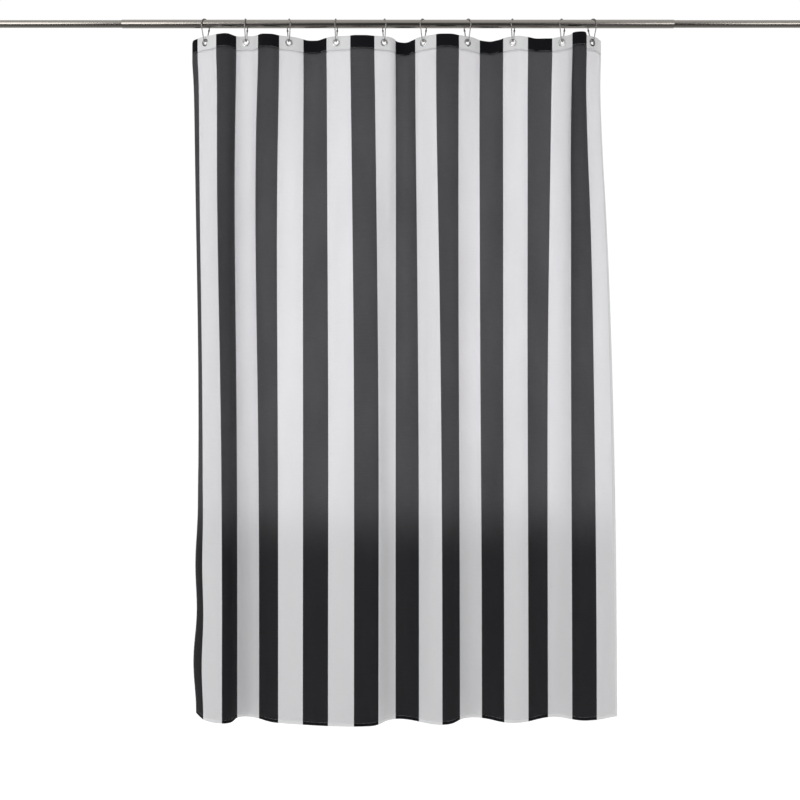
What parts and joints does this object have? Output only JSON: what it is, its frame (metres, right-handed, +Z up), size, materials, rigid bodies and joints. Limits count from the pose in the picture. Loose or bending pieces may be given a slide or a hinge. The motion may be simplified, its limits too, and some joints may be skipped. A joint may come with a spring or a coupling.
{
  "type": "shower curtain",
  "caption": "Striped cloth shower curtain that hangs by wire rings through metal eyelets from a telescopic rod, and slides, gathers and swings.",
  "frame": {"origin": "middle of the left foot pad, on the wall face; the rod axis is the X axis", "axes": "+X along the rod from the left wall to the right wall, -Y towards the room (the side seen), +Z up"},
  "size_m": [2.45, 0.1388, 2.058],
  "materials": {
    "rod_metal": "satin, drawn along the tube",
    "cup_metal": "satin",
    "ring_wire": "bright plated wire",
    "eyelet_metal": "bright pressed sheet",
    "striped_cloth": "plain woven polyester, broad black and white stripes",
    "heading_tape": "non-woven stiffener",
    "foot_rubber": "matt",
    "lock_plastic": "moulded"
  },
  "bodies": {
    "rod_left": {"left_foot_pad": "foot_rubber", "left_end_cup": "cup_metal", "left_tube": "rod_metal", "left_twist_lock": "lock_plastic"},
    "rod_centre": {"centre_tube": "rod_metal"},
    "rod_right": {"right_tube": "rod_metal", "right_end_cup": "cup_metal", "right_foot_pad": "foot_rubber", "right_twist_lock": "lock_plastic"},
    "ring_01": {"hook_01": "ring_wire"},
    "ring_02": {"hook_02": "ring_wire"},
    "ring_03": {"hook_03": "ring_wire"},
    "ring_04": {"hook_04": "ring_wire"},
    "ring_05": {"hook_05": "ring_wire"},
    "ring_06": {"hook_06": "ring_wire"},
    "ring_07": {"hook_07": "ring_wire"},
    "ring_08": {"hook_08": "ring_wire"},
    "ring_09": {"hook_09": "ring_wire"},
    "ring_10": {"hook_10": "ring_wire"},
    "curtain": {"curtain_panel": "striped_cloth", "heading_tape": "heading_tape", "eyelet_front_01": "eyelet_metal", "eyelet_back_01": "eyelet_metal"},
    "eyelet_02": {"eyelet_front_02": "eyelet_metal", "eyelet_back_02": "eyelet_metal"},
    "eyelet_03": {"eyelet_front_03": "eyelet_metal", "eyelet_back_03": "eyelet_metal"},
    "eyelet_04": {"eyelet_front_04": "eyelet_metal", "eyelet_back_04": "eyelet_metal"},
    "eyelet_05": {"eyelet_front_05": "eyelet_metal", "eyelet_back_05": "eyelet_metal"},
    "eyelet_06": {"eyelet_front_06": "eyelet_metal", "eyelet_back_06": "eyelet_metal"},
    "eyelet_07": {"eyelet_front_07": "eyelet_metal", "eyelet_back_07": "eyelet_metal"},
    "eyelet_08": {"eyelet_front_08": "eyelet_metal", "eyelet_back_08": "eyelet_metal"},
    "eyelet_09": {"eyelet_front_09": "eyelet_metal", "eyelet_back_09": "eyelet_metal"},
    "eyelet_10": {"eyelet_front_10": "eyelet_metal", "eyelet_back_10": "eyelet_metal"}
  },
  "joints": [
    {"name": "left_telescope", "type": "slide", "parent": "rod_left", "child": "rod_centre", "axis": [1, 0, 0], "range_m": [-0.34, 0.06]},
    {"name": "right_telescope", "type": "slide", "parent": "rod_centre", "child": "rod_right", "axis": [1, 0, 0], "range_m": [-0.34, 0.06]},
    {"name": "curtain_slide", "type": "slide", "parent": "rod_centre", "child": "ring_01", "axis": [1, 0, 0], "range_m": [-0.2, 0.2]},
    {"name": "curtain_swing", "type": "hinge", "parent": "ring_01", "child": "curtain", "pos_m": [0.65658, 0, -0.0434], "axis": [1, 0, 0], "range_deg": [-20, 20]},
    {"name": "gather", "type": "slide", "parent": "ring_01", "child": "ring_10", "axis": [1, 0, 0], "range_m": [-0.79084, 0], "deforming": ["curtain_panel", "heading_tape"]},
    {"name": "ring_02_slide", "type": "slide", "parent": "ring_01", "child": "ring_02", "axis": [1, 0, 0], "range_m": [-0.08351, 0.0005]},
    {"name": "eyelet_02_slide", "type": "slide", "parent": "curtain", "child": "eyelet_02", "axis": [1, 0, 0], "range_m": [-0.08351, 0.0005]},
    {"name": "ring_03_slide", "type": "slide", "parent": "ring_01", "child": "ring_03", "axis": [1, 0, 0], "range_m": [-0.1712, 0.0005]},
    {"name": "eyelet_03_slide", "type": "slide", "parent": "curtain", "child": "eyelet_03", "axis": [1, 0, 0], "range_m": [-0.1712, 0.0005]},
    {"name": "ring_04_slide", "type": "slide", "parent": "ring_01", "child": "ring_04", "axis": [1, 0, 0], "range_m": [-0.26772, 0.0005]},
    {"name": "eyelet_04_slide", "type": "slide", "parent": "curtain", "child": "eyelet_04", "axis": [1, 0, 0], "range_m": [-0.26772, 0.0005]},
    {"name": "ring_05_slide", "type": "slide", "parent": "ring_01", "child": "ring_05", "axis": [1, 0, 0], "range_m": [-0.36616, 0.0005]},
    {"name": "eyelet_05_slide", "type": "slide", "parent": "curtain", "child": "eyelet_05", "axis": [1, 0, 0], "range_m": [-0.36616, 0.0005]},
    {"name": "ring_06_slide", "type": "slide", "parent": "ring_01", "child": "ring_06", "axis": [1, 0, 0], "range_m": [-0.44611, 0.0005]},
    {"name": "eyelet_06_slide", "type": "slide", "parent": "curtain", "child": "eyelet_06", "axis": [1, 0, 0], "range_m": [-0.44611, 0.0005]},
    {"name": "ring_07_slide", "type": "slide", "parent": "ring_01", "child": "ring_07", "axis": [1, 0, 0], "range_m": [-0.53638, 0.0005]},
    {"name": "eyelet_07_slide", "type": "slide", "parent": "curtain", "child": "eyelet_07", "axis": [1, 0, 0], "range_m": [-0.53638, 0.0005]},
    {"name": "ring_08_slide", "type": "slide", "parent": "ring_01", "child": "ring_08", "axis": [1, 0, 0], "range_m": [-0.62912, 0.0005]},
    {"name": "eyelet_08_slide", "type": "slide", "parent": "curtain", "child": "eyelet_08", "axis": [1, 0, 0], "range_m": [-0.62912, 0.0005]},
    {"name": "ring_09_slide", "type": "slide", "parent": "ring_01", "child": "ring_09", "axis": [1, 0, 0], "range_m": [-0.72995, 0.0005]},
    {"name": "eyelet_09_slide", "type": "slide", "parent": "curtain", "child": "eyelet_09", "axis": [1, 0, 0], "range_m": [-0.72995, 0.0005]},
    {"name": "eyelet_10_slide", "type": "slide", "parent": "curtain", "child": "eyelet_10", "axis": [1, 0, 0], "range_m": [-0.79134, 0.0005]}
  ],
  "couplings": [
    {"joint": "ring_02_slide", "follows": "gather", "ratio": 0.10496},
    {"joint": "eyelet_02_slide", "follows": "gather", "ratio": 0.10496},
    {"joint": "ring_03_slide", "follows": "gather", "ratio": 0.21585},
    {"joint": "eyelet_03_slide", "follows": "gather", "ratio": 0.21585},
    {"joint": "ring_04_slide", "follows": "gather", "ratio": 0.3379},
    {"joint": "eyelet_04_slide", "follows": "gather", "ratio": 0.3379},
    {"joint": "ring_05_slide", "follows": "gather", "ratio": 0.46236},
    {"joint": "eyelet_05_slide", "follows": "gather", "ratio": 0.46236},
    {"joint": "ring_06_slide", "follows": "gather", "ratio": 0.56346},
    {"joint": "eyelet_06_slide", "follows": "gather", "ratio": 0.56346},
    {"joint": "ring_07_slide", "follows": "gather", "ratio": 0.67761},
    {"joint": "eyelet_07_slide", "follows": "gather", "ratio": 0.67761},
    {"joint": "ring_08_slide", "follows": "gather", "ratio": 0.79487},
    {"joint": "eyelet_08_slide", "follows": "gather", "ratio": 0.79487},
    {"joint": "ring_09_slide", "follows": "gather", "ratio": 0.92237},
    {"joint": "eyelet_09_slide", "follows": "gather", "ratio": 0.92237},
    {"joint": "eyelet_10_slide", "follows": "gather", "ratio": 1}
  ]
}
